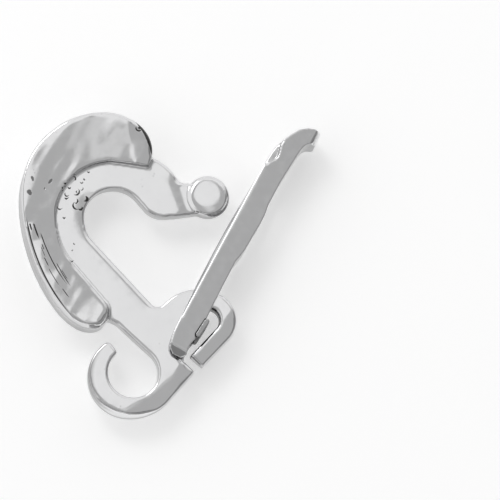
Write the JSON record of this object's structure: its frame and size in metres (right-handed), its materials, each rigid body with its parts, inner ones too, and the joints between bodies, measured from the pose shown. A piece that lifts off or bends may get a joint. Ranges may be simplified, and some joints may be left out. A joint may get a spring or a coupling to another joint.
{
  "type": "clip clasp",
  "caption": "Hinged clip clasp: a hook body with a concave saddle band, a throat that closes over a strand, a snap lever with a thumb tab, and a small pendant hook below.",
  "frame": {"origin": "middle of the hook's round eye, halfway through the flat body", "axes": "the part lies on its side: +Z is the hinge direction and the eye's axis, +Y runs from the eye up to the saddle band, and the lever opens towards +X"},
  "size_m": [0.0195, 0.02, 0.0032],
  "materials": {
    "body_silver": "polished cast silver with casting pits, fine scratches and slightly darkened recesses",
    "lever_silver": "polished silver, softly worn, darker inside the channel",
    "bar_silver": "plain silver bar, darkened round its edge"
  },
  "bodies": {
    "hook": {"hook_body": "body_silver"},
    "lever": {"snap_lever": "lever_silver", "hinge_bar": "bar_silver"}
  },
  "joints": [
    {"name": "lever_hinge", "type": "hinge", "parent": "hook", "child": "lever", "pos_m": [0.00445, 0.00273, 0], "axis": [0, 0, 1], "range_deg": [0, 34]}
  ]
}
